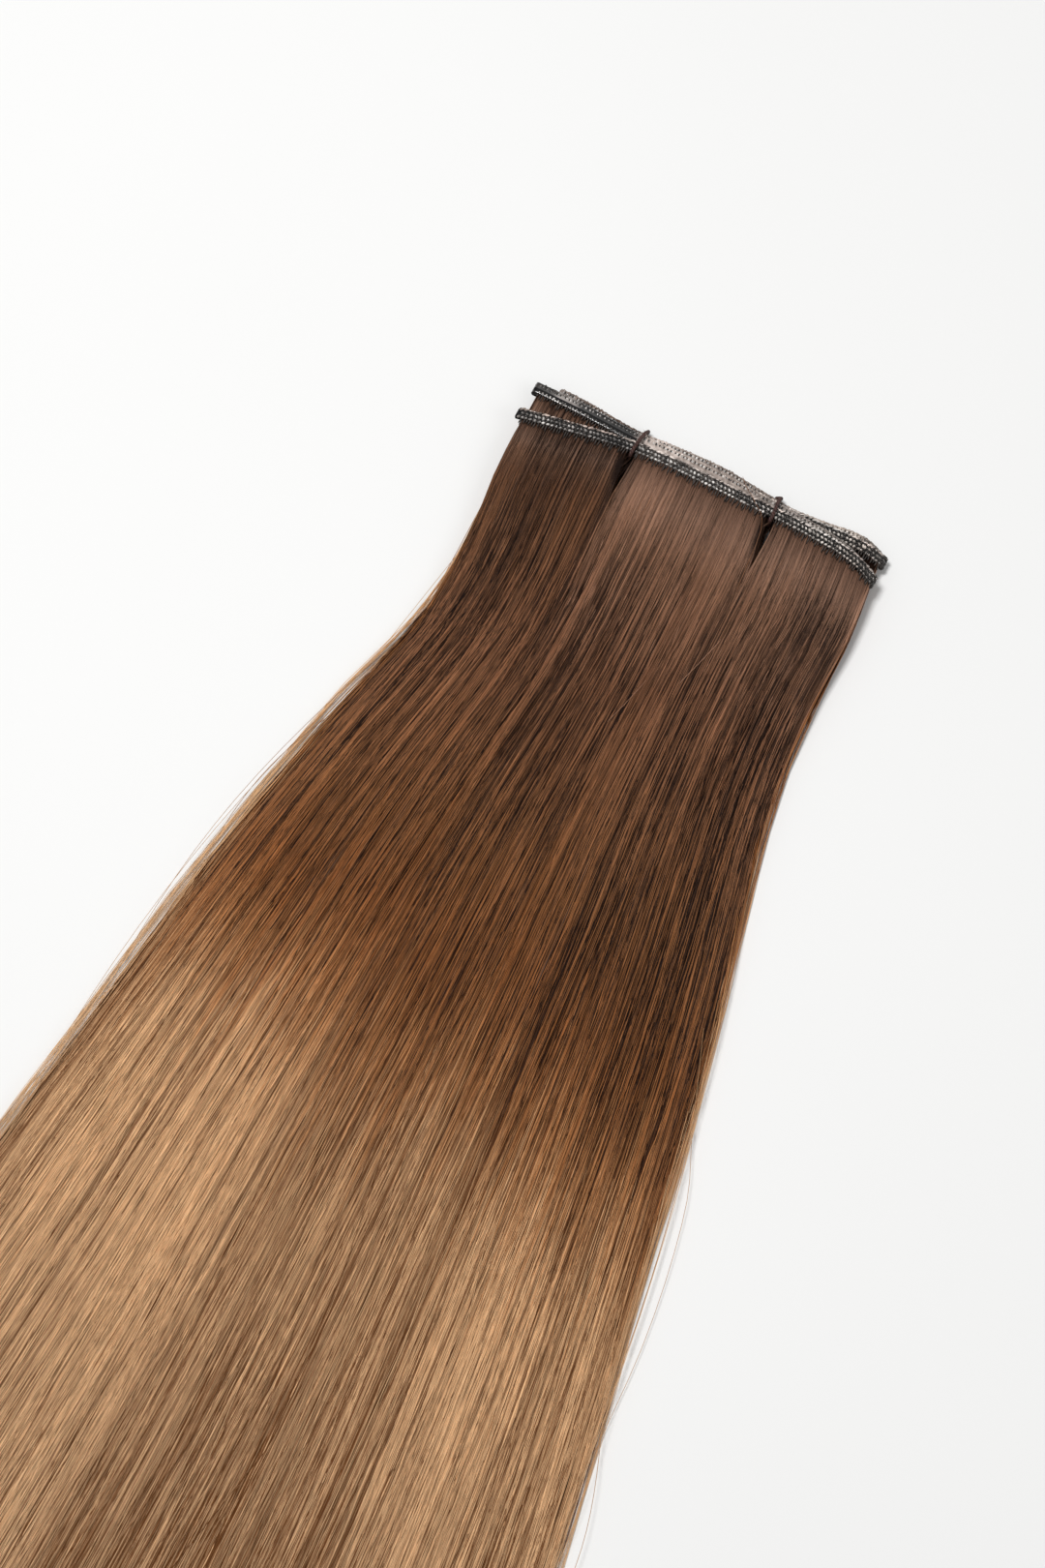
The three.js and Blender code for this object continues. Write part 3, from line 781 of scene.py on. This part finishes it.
def band_path():
    """Dense places along the folded band: its middle, and the angle that it has turned through."""
    ends = (FREE_END_TOP, FOLD_X, -FOLD_X, FOLD_X, FREE_END_LOWEST)
    bend = np.pi * np.arange(1, FOLD_STEPS) / FOLD_STEPS
    rows = []
    for i, run in enumerate("abcd"):
        x = np.linspace(ends[i], ends[i + 1], RUN_STEPS)
        height = CURTAINS[run]["level"] * RUN_PITCH + BAND_THICKNESS / 2
        backwards = i % 2
        rows.append((x, band_line[run](x), np.full(RUN_STEPS, height), np.full(RUN_STEPS, backwards * np.pi)))
        if run != "d":
            x = (-1 if backwards else 1) * (FOLD_X + RUN_PITCH / 2 * np.sin(bend))
            z = height - RUN_PITCH / 2 * (1 - np.cos(bend))
            rows.append((x, band_line[run](x), z, np.pi - bend if backwards else bend))
    path = np.concatenate(rows, axis=1).T
    step = np.linalg.norm(np.diff(path[:, (0, 2)], axis=0), axis=1)
    return np.r_[0, np.cumsum(step)], path


BAND_AT, BAND_PATH = band_path()


def band_middle(at):
    return np.stack([np.interp(at, BAND_AT, column) for column in BAND_PATH.T[:3]], -1)


def band_frame(at):
    """Middle, direction along and direction out of the stitched face, at distances along the band."""
    middle = band_middle(at)
    along = (band_middle(at + ALONG_REACH) - middle) + (middle - band_middle(at - ALONG_REACH))
    along /= np.linalg.norm(along, axis=-1, keepdims=True)
    turn = np.interp(at, BAND_AT, BAND_PATH[:, 3])
    return middle, along, np.stack([np.sin(turn), np.zeros_like(turn), np.cos(turn)], -1)


def band_section():
    """Points round the strip, as height and thickness: its lower edge, back, upper edge and ribbed face."""
    edge, face = BAND_HEIGHT / 2, BAND_THICKNESS / 2
    flat, side = edge - CUT_HEIGHT, face - CUT_THICKNESS
    back = [(y, -face) for y in np.linspace(-flat, flat, BACK_POINTS)]
    front = []
    for y in np.linspace(flat, -flat, RIB_POINTS):
        front.append((y, face - RIB_DEPTH * (0.5 - 0.5 * math.cos(TURN * y / RIB_PITCH))))
    return np.array([(-edge, side), (-edge, -side), *back, (edge, -side), (edge, side), *front])


def band_materials(middle, size):
    """Each face's material: the ground, or the coat on the back of the upper runs or of the lowest run."""
    is_back = np.zeros(size, int)
    is_back[BACK_FACES] = 1
    in_channel = np.zeros(size, bool)
    in_channel[CHANNEL_FACES] = True
    coat = np.where(middle[:-1, 2] < RUN_PITCH / 2, 2, 1)
    channel = (middle[:-1, 0] < -TIE_X)[:, None] & in_channel
    return np.r_[np.where(channel, 0, coat[:, None] * is_back).ravel(), 0, 0]


def band_strip():
    """The coated strip: a rounded section with three low ribs on its stitched face."""
    section = band_section()
    at = np.r_[BAND_AT[0], BAND_AT, BAND_AT[-1]]
    middle, along, outward = band_frame(at)
    scale = 1 + FOLD_SWELL * outward[:, 0] ** 2
    scale[[0, -1]] = END_SIZE
    middle[0] -= END_REACH * along[0]
    middle[-1] += END_REACH * along[-1]
    scale = scale[:, None, None]
    height, thickness = section[None, :, :1], section[None, :, 1:]
    rings = middle[:, None] + height * BAND_ACROSS * scale + thickness * outward[:, None] * scale
    size = len(section)
    index = np.arange(len(at) * size).reshape(len(at), size)
    here, there = index[:-1], index[1:]
    quads = np.stack([here, np.roll(here, -1, 1), np.roll(there, -1, 1), there], -1).reshape(-1, 4)
    caps = np.stack([index[0][::-1], index[-1]])
    materials = [GROUND, COATING, LOWEST_COATING]
    add_piece("band_strip", rings.reshape(-1, 3), [quads, caps], materials, ["weft_band"],
              faces_of=band_materials(middle, size))


# Stitches

STITCH_START = 0.6
HALF_STITCH = STITCH_PITCH / 2
EDGE_START = 0.9
STITCH_SUNK = 0.12
# Rows of stitches: place across the band, slant in degrees, half length, half width and height
FRONT_ROWS = ((-1.1, 20, (0.48, 0.42, 0.5)), (0.2, -35, (0.54, 0.38, 0.45)))
RIM_ROWS = ((1.42, 14, (0.8, 0.32, 0.36)),)
EDGE_ROWS = ((1.5, 14, (0.72, 0.3, 0.34)),)
SHADE_ROWS = ((-1.1, 20, (0.4, 0.4, 0.42)), (0.2, -35, (0.46, 0.36, 0.38)), (-0.45, -10, (0.5, 0.3, 0.32)),
              (0.82, 10, (0.5, 0.3, 0.32)))
BACK_ROWS = ((-0.9, 0, (0.3, 0.46, 0.3)), (0.9, 0, (0.3, 0.46, 0.3)))
DASH_ROWS = ((-0.9, 0, (0.28, 0.52, 0.24)), (0.9, 0, (0.28, 0.52, 0.24)))
# Parts of the band whose stitched face, or whose back, looks up, as distances along it
UPPER_FACES = ((0, 112), (221, 332))
UPPER_BACKS = ((112, 218), (332, 434))


def ball(around, rings):
    """Points and faces of a unit ball, with its poles on the first axis."""
    polar = np.pi * np.arange(1, rings)[:, None] / rings
    turn = TURN * np.arange(around) / around
    hoop = np.broadcast_arrays(np.cos(polar), np.sin(polar) * np.cos(turn), np.sin(polar) * np.sin(turn))
    points = np.concatenate([[[1, 0, 0]], np.stack(hoop, -1).reshape(-1, 3), [[-1, 0, 0]]])
    index = 1 + np.arange((rings - 1) * around).reshape(rings - 1, around)
    beside = np.roll(index, -1, 1)
    quads = np.stack([index[:-1], index[1:], beside[1:], beside[:-1]], -1).reshape(-1, 4)
    caps = np.concatenate([
        np.stack([np.zeros(around, int), index[0], beside[0]], -1),
        np.stack([np.full(around, len(points) - 1), beside[-1], index[-1]], -1),
    ])
    return points, quads, caps


def stitches(name, side, rows, material, start, kept=None, facets=(7, 4)):
    """Rows of slanted stitches on one face of the band, or its kept parts, as small drops half sunk in it."""
    middles, axes = [], []
    for number, (row, lean, radii) in enumerate(rows):
        at = np.arange(start + (number % 2) * HALF_STITCH, BAND_AT[-1] - STITCH_START, STITCH_PITCH)
        if kept:
            at = np.concatenate([at[(at > first) & (at < last)] for first, last in kept])
        at = at + rng.normal(0, 0.12, at.size)
        middle, along, outward = band_frame(at)
        slant = np.radians(lean + rng.normal(0, 12.0, at.size))[:, None]
        length = along * np.cos(slant) + BAND_ACROSS * np.sin(slant)
        width = BAND_ACROSS * np.cos(slant) - along * np.sin(slant)
        size = rng.normal(1, 0.14, (at.size, 3)) * radii
        middles.append(middle + BAND_ACROSS * row + outward * side * (BAND_THICKNESS / 2 - STITCH_SUNK))
        axes.append(np.stack([length * size[:, :1], width * size[:, 1:2], outward * size[:, 2:]], 1))
    middles, axes = np.concatenate(middles), np.concatenate(axes)
    points, quads, caps = ball(*facets)
    placed = middles[:, None] + points @ axes
    offset = (np.arange(len(middles)) * len(points))[:, None, None]
    polygons = [(faces + offset).reshape(-1, faces.shape[1]) for faces in (quads, caps)]
    if np.linalg.det(axes)[0] < 0:
        polygons = [faces[:, ::-1] for faces in polygons]
    add_piece(name, placed.reshape(-1, 3), polygons, [material])


# Legs of thread over the roots: at steps from inside the band to the end of a leg, their heights and widths
LEG_STEPS = np.array([0.5, 0.0, -0.5, -1.0])
LEG_HEIGHTS = np.array([-0.1, 0.16, 0.2, 0.05])
LEG_TAPER = np.array([1, 1, 0.9, 0.5])
LEG_PITCH = 0.8
LEG_WANDER = 0.12
LEG_CLEAR = 0.02
NO_LEGS_AT_TIE = 1.1


def bindings():
    """Short dark thread legs that run from the lower edge of each run over the roots of its hair."""
    paths = []
    for run, curtain in CURTAINS.items():
        x = np.arange(curtain["left"], curtain["right"], LEG_PITCH)
        x = x + rng.normal(0, LEG_WANDER, x.size)
        edge = band_line[run](x) - BAND_HEIGHT / 2
        length = rng.uniform(0.6, 2.1, x.size)
        kept = np.minimum(np.abs(x - TIE_X), np.abs(x + TIE_X)) > NO_LEGS_AT_TIE
        for side in (1, -1):
            bottom = curtain["level"] * RUN_PITCH
            surface = bottom + BAND_THICKNESS + LEG_CLEAR if side > 0 else bottom - LEG_CLEAR
            lean = rng.normal(0, LEG_WANDER, x.size)
            path_x = x[:, None] + lean[:, None] * np.clip(-LEG_STEPS, 0, 1)
            path_y = edge[:, None] + np.where(LEG_STEPS > 0, LEG_STEPS, LEG_STEPS * length[:, None])
            path_z = np.broadcast_to(surface + side * LEG_HEIGHTS, path_x.shape)
            paths.append(np.stack([path_x, path_y, path_z], -1)[kept])
    paths = np.concatenate(paths)
    radii = rng.uniform(0.18, 0.27, (len(paths), 1)) * LEG_TAPER
    points, polygons = tubes(paths, radii, sides=4)
    add_piece("root_bindings", points, polygons, [BINDING])


# Ties

PLY_LAY = 1.7
PLY_RADIUS = 0.32
PLY_OFFSET = 0.8 * PLY_RADIUS
LOOP_STEPS = 220
CORNER_STEPS = 12
TIE_BESIDE = np.array([1.0, 0.0, 0.0])
# Fuzz: hairs that start inside the thread and rise out of it
FUZZ_COUNT = 40
FUZZ_STEPS = np.array([0.0, 0.5, 1.0])[:, None]
FUZZ_START = 0.5
FUZZ_RADIUS = 0.028
FUZZ_ABOVE_TABLE = 0.05


def tie_corners(x):
    """Corners of the stacked runs at x, as y and z."""
    half = BAND_HEIGHT / 2
    near, far = band_line["a"](x) - half, band_line["d"](x) + half
    upper = [level * RUN_PITCH + BAND_THICKNESS for level in range(4)]
    return [(near, 0), (far, 0), (far, upper[0]), (band_line["b"](x) + half, upper[2]),
            (band_line["a"](x) + half, upper[3]), (near, upper[3])]


def tie_path(x, lean):
    """The loop of a tie round the stacked runs, with even steps, its outward direction and its length."""
    clear = TIE_DIAMETER / 2 + TIE_GAP
    corners = tie_corners(x)
    ahead = [(b[0] - a[0], b[1] - a[1]) for a, b in zip(corners, corners[1:] + corners[:1])]
    outward = [math.atan2(-dy, dz) for dy, dz in ahead]
    path = []
    for i, (y, z) in enumerate(corners):
        turn = (outward[i] - outward[i - 1]) % TURN
        for angle in outward[i - 1] + turn * np.linspace(0, 1, CORNER_STEPS):
            path.append((y + clear * math.cos(angle), z + clear * math.sin(angle)))
    path = np.array(path + path[:1])
    at = np.r_[0, np.cumsum(np.linalg.norm(np.diff(path, axis=0), axis=1))]
    even = np.linspace(0, at[-1], LOOP_STEPS, endpoint=False)
    y, z = (np.interp(even, at, column) for column in path.T)
    above = np.clip((z - BAND_THICKNESS / 2) / clear, -1, 1) / 2 + 0.5
    leaning = mix(lean["under"], lean["over"], above) * ease(y, corners[0][0], corners[1][0])
    loop = np.stack([x + leaning, y, z], -1)
    away = np.cross(np.roll(loop, -1, 0) - np.roll(loop, 1, 0), TIE_BESIDE)
    return loop, away / np.linalg.norm(away, axis=1, keepdims=True), at[-1]


def fuzz(loop, away):
    """Short fine hairs that stand out of a thread."""
    start = rng.integers(0, LOOP_STEPS, FUZZ_COUNT)
    angle = rng.uniform(0, TURN, FUZZ_COUNT)[:, None]
    outward = np.cos(angle) * away[start] + np.sin(angle) * TIE_BESIDE
    drift = rng.normal(0, 0.25, (FUZZ_COUNT, 3))
    rise = rng.uniform(0.15, 0.5, (FUZZ_COUNT, 1, 1))
    paths = loop[start][:, None] + outward[:, None] * (FUZZ_START + rise * FUZZ_STEPS)
    paths = paths + drift[:, None] * FUZZ_STEPS**2
    paths[:, :, 2] = np.maximum(paths[:, :, 2], FUZZ_ABOVE_TABLE - TABLE_DROP)
    return tubes(paths, np.full(paths.shape[:2], FUZZ_RADIUS))


def tie(name, node, x):
    """Two plies twisted round each other along the loop, with a little fuzz."""
    loop, away, length = tie_path(x, TIE_LEAN[node])
    twist = TURN * round(length / PLY_LAY) * np.arange(LOOP_STEPS)[:, None] / LOOP_STEPS
    plies = []
    for start in (0, np.pi):
        plies.append(loop + PLY_OFFSET * (np.cos(twist + start) * away + np.sin(twist + start) * TIE_BESIDE))
    radii = np.full((len(plies), LOOP_STEPS), PLY_RADIUS)
    points, polygons = tubes(np.array(plies), radii, sides=10, looped=True)
    fuzz_points, fuzz_polygons = fuzz(loop, away)
    polygons += [faces + len(points) for faces in fuzz_polygons]
    add_piece(name, np.concatenate([points, fuzz_points]), polygons, [THREAD], [node])


# Loose hairs

# Hairs that stand off the two edges: side and number
EDGE_HAIRS = ((-1, 16), (1, 12))
LOOSE_SOONER = 0.12
LOOSE_ROUTES = {
    "right_bow": ((70, -142, 1.5), (80, -168, 1.2), (88, -188, 0.6), (94, -222, 0), (96, -262, 0)),
    "over_band": ((8.6, 1.6, 2.4), (11.4, -2, 6), (14.9, -4.7, 7), (20.3, -10.7, 7), (22.5, -30, 6.4)),
}
# Pale hairs that cross the brown, coloured with the painted root sheen as painted glints
PALE_ROUTES = {
    "upper": ((20.7, -60.6, 4.2), (21.3, -58.6, 5), (23, -52.7, 5.3), (24.6, -46.5, 5.2), (25, -44, 4.6)),
    "lower": ((8.2, -80.3, 4), (8.7, -78.3, 4.7), (10.4, -72.4, 5), (11.8, -66.6, 5), (12.2, -64, 4.4)),
    "near_band": ((35.8, -26, 5.6), (35.6, -22.5, 6.4), (35.4, -17.5, 6.8), (35.6, -13.7, 6.8),
                  (35.7, -11.5, 6.4)),
}


def edge_hairs(side, count):
    """Paths of hairs that leave an edge of the fan in a bow and come back to it."""
    each = (count, 1)
    root_x = np.full(each, float(CURTAINS["a"]["left" if side < 0 else "right"]))
    begin = rng.uniform(40, 260, each)
    span = rng.uniform(60, 190, each)
    away = np.abs(rng.normal(0, 2.8, each)) + 1.0
    share = np.linspace(0, 1, len(HAIR_STEPS))[None]
    x, y, under, thickness = lay("a", root_x, begin + span * share)
    bow = np.sin(np.pi * share ** rng.uniform(0.7, 1.4, each))
    x = x + side * (away * bow - 0.8)
    return np.stack([x, y, under + thickness * 0.5 + 0.5 * bow], -1)


def routed_hair(route):
    """The path of one hair through the points of its route."""
    table = dict(zip("sxyz", (np.arange(len(route)), *np.array(route).T)))
    at = np.linspace(0, len(route) - 1, len(HAIR_STEPS))
    return np.stack([through(table, "s", axis)(at) for axis in "xyz"], -1)[None]


def loose_hairs():
    """Hairs that stand off the two edges of the fan, and a few that cross it, the last of them pale as
    painted glints.
    """
    paths = [edge_hairs(side, count) for side, count in EDGE_HAIRS]
    paths += [routed_hair(route) for route in (*LOOSE_ROUTES.values(), *PALE_ROUTES.values())]
    paths = np.concatenate(paths)
    pale = slice(-len(PALE_ROUTES), None)
    radii = rng.uniform(0.07, 0.11, (len(paths), 1))
    tone = rng.uniform(0.45, 0.9, (len(paths), 1))
    place = LOOSE_SOONER - paths[:, :, 1] / HAIR_LENGTH
    # The pale hairs take the painted root sheen, as painted glints
    tone[pale] = 0.98
    place[pale] = 0.025
    radii[pale] *= 0.75
    hairs("loose_hairs", paths, radii, tone, place)


# Wisps along the edges of the fan: run, side, number, how far out they lie, how much sooner they turn light
FRINGES = (
    ("b", -1, 6, (-3.0, 0.8), (110, 230)),
    ("c", -1, 2, (-1.8, 0.6), (100, 220)),
    ("b", 1, 2, (-0.4, 0.6), (60, 140)),
    ("c", 1, 2, (-1.4, 0.4), (60, 140)),
    ("a", 1, 3, (-0.4, 0.5), (60, 140)),
    ("d", 1, 2, (0.0, 0.8), (60, 140)),
)
FRINGE_WISP = 4
FRINGE_RADIUS = (0.07, 0.11)
FRINGE_TAPER = ((0, 420, 500), (1, 0.9, 0.4))


def fringe_wisps(run, side, wisps, reach, sooner_by):
    """Paths of the hairs of a few wisps along one edge of a curtain, and the places of their colours."""
    each = (wisps * FRINGE_WISP, 1)
    each_wisp = (wisps, 1)
    wisp = np.arange(each[0]) // FRINGE_WISP
    out = uneven_steps(each[0]) * rng.uniform(0.7, 1, each)
    root_x = np.full(out.shape, float(CURTAINS[run]["left" if side < 0 else "right"]))
    x, y, under, thickness = lay(run, root_x, out)
    base = rng.uniform(*reach, each_wisp)[wisp] + rng.normal(0, 0.25, each)
    wave = out / rng.uniform(90, 240, each_wisp)[wisp] + rng.uniform(0, 1, each_wisp)[wisp]
    own_wave = out / rng.uniform(60, 160, each) + rng.uniform(0, 1, each)
    sway = 0.6 * np.sin(TURN * wave) + 0.25 * np.sin(TURN * own_wave)
    away = base * ease(out, 20, 90) + sway * ease(out, 20, 100)
    x = x + side * away * ease(out, 4, 60)
    z = settle(under + thickness * rng.uniform(0.1, 1, each), 1.0, out)
    path = np.stack([x, y, np.maximum(z, FRINGE_RADIUS[1] - TABLE_DROP)], -1)
    return path, out + rng.uniform(*sooner_by, each) * ease(out, 0, 40)


def fringe():
    """Wisps of fine golden hairs along the two edges of the fan, apart from each other and from the rest."""
    rows = [fringe_wisps(*row) for row in FRINGES]
    paths, places = (np.concatenate(part) for part in zip(*rows))
    radii = rng.uniform(*FRINGE_RADIUS, (len(paths), 1)) * np.interp(HAIR_STEPS, *FRINGE_TAPER)
    # The fringe hairs are light and turn light sooner than the rest, as painted light shining through the
    # thin hairs
    tone = rng.uniform(0.6, 1, (len(paths), 1))
    hairs("hair_fringe", paths, radii, tone, places / HAIR_LENGTH)


# Painted glints, as short light hairs near the band: middle and spread along it, and their number
GLINTS = ((-14, 4, 50), (2, 9, 40), (28, 6, 60), (42, 6, 40))
GLINT_STEPS = np.linspace(0, 1, 5)
GLINT_X = (-TIE_X + 2, 52)
GLINT_HEIGHT = 0.95
GLINT_BOW = 0.3
GLINT_TAPER = np.array([0.3, 1, 1, 1, 0.3])


def glints():
    """Short lengths of hair that lie highest near the band, coloured light as painted glints."""
    paths = []
    for middle, spread, count in GLINTS:
        each = (count, 1)
        root_x = np.clip(rng.normal(middle, spread, each), *GLINT_X)
        out = rng.uniform(6, 46, each) + rng.uniform(3, 9, each) * GLINT_STEPS
        x, y, under, thickness = lay("a", root_x + rng.normal(0, 0.25, each) * GLINT_STEPS, out)
        z = under + thickness * GLINT_HEIGHT + GLINT_BOW * np.sin(np.pi * GLINT_STEPS)
        paths.append(np.stack([x, y, z], -1))
    paths = np.concatenate(paths)
    radii = rng.uniform(0.05, 0.09, (len(paths), 1)) * GLINT_TAPER
    tone = rng.uniform(0.8, 1, (len(paths), 1))
    hairs("hair_glints", paths, radii, tone, mix(0.03, 0.05, GLINT_STEPS)[None])


# Stage, light and camera

def floor():
    half = FLOOR_HALF_SIZE * MM
    z = CAD_BOX[0][2]
    mesh = bpy.data.meshes.new("floor")
    corners = [(-half, -half, z), (half, -half, z), (half, half, z), (-half, half, z)]
    mesh.from_pydata(corners, [], [(0, 1, 2, 3)])
    mesh.materials.append(PAPER)
    piece = add_object("floor", mesh)


def softbox(name, right_m, up_m, above_m, size_m, watts):
    turn = math.radians(VIEW_AZIMUTH)
    right = Vector((math.cos(turn), math.sin(turn), 0))
    up = Vector((-math.sin(turn), math.cos(turn), 0))
    aim = Vector(VIEW_AIM) * MM
    light = bpy.data.lights.new(name, "AREA")
    light.size = size_m
    light.energy = watts
    lamp = add_object(name, light)
    lamp.location = aim + right * right_m + up * up_m + Vector((0, 0, above_m))
    lamp.rotation_euler = (aim - lamp.location).to_track_quat("-Z", "Y").to_euler()


def world():
    made = bpy.data.worlds.new("studio")
    made.use_nodes = True
    background = made.node_tree.nodes["Background"]
    background.inputs["Color"].default_value = linear((246, 246, 246))
    background.inputs["Strength"].default_value = 0.35
    bpy.context.scene.world = made


def camera():
    turn, rise = math.radians(VIEW_AZIMUTH), math.radians(VIEW_ELEVATION)
    back = Vector((math.sin(turn) * math.cos(rise), -math.cos(turn) * math.cos(rise), math.sin(rise)))
    lens = bpy.data.cameras.new("camera")
    lens.lens = 75.0
    lens.sensor_fit = "VERTICAL"
    lens.sensor_height = 36.0
    holder = add_object("camera", lens)
    holder.location = (Vector(VIEW_AIM) + back * VIEW_DISTANCE) * MM
    holder.rotation_euler = (math.pi / 2 - rise, 0, turn)
    bpy.context.scene.camera = holder


# The whole scene, in the order in which the random numbers are drawn
for run in "dcba":
    core(run)
for name, layer in LAYERS.items():
    strands(name, *layer)
band_strip()
stitches("stitches_front", 1, FRONT_ROWS, STITCH, STITCH_START)
stitches("stitches_rim", 1, RIM_ROWS, RIM, STITCH_START)
stitches("stitches_shade", 1, SHADE_ROWS, SHADE, STITCH_START + HALF_STITCH, UPPER_FACES, (6, 3))
stitches("stitches_back", -1, BACK_ROWS, STITCH, STITCH_START)
stitches("dashes_back", -1, DASH_ROWS, DASH, STITCH_START + HALF_STITCH)
stitches("edge_upper", -1, EDGE_ROWS, COATING, EDGE_START, UPPER_BACKS[:1], (6, 4))
stitches("edge_lowest", -1, EDGE_ROWS, LOWEST_COATING, EDGE_START, UPPER_BACKS[1:], (6, 4))
bindings()
tie("thread_left", "tie_left", -TIE_X)
tie("thread_right", "tie_right", TIE_X)
loose_hairs()
fringe()
glints()
floor()
for name, settings in SOFTBOXES.items():
    softbox(name, *settings)
world()
camera()
bpy.context.scene.view_settings.view_transform = "Standard"
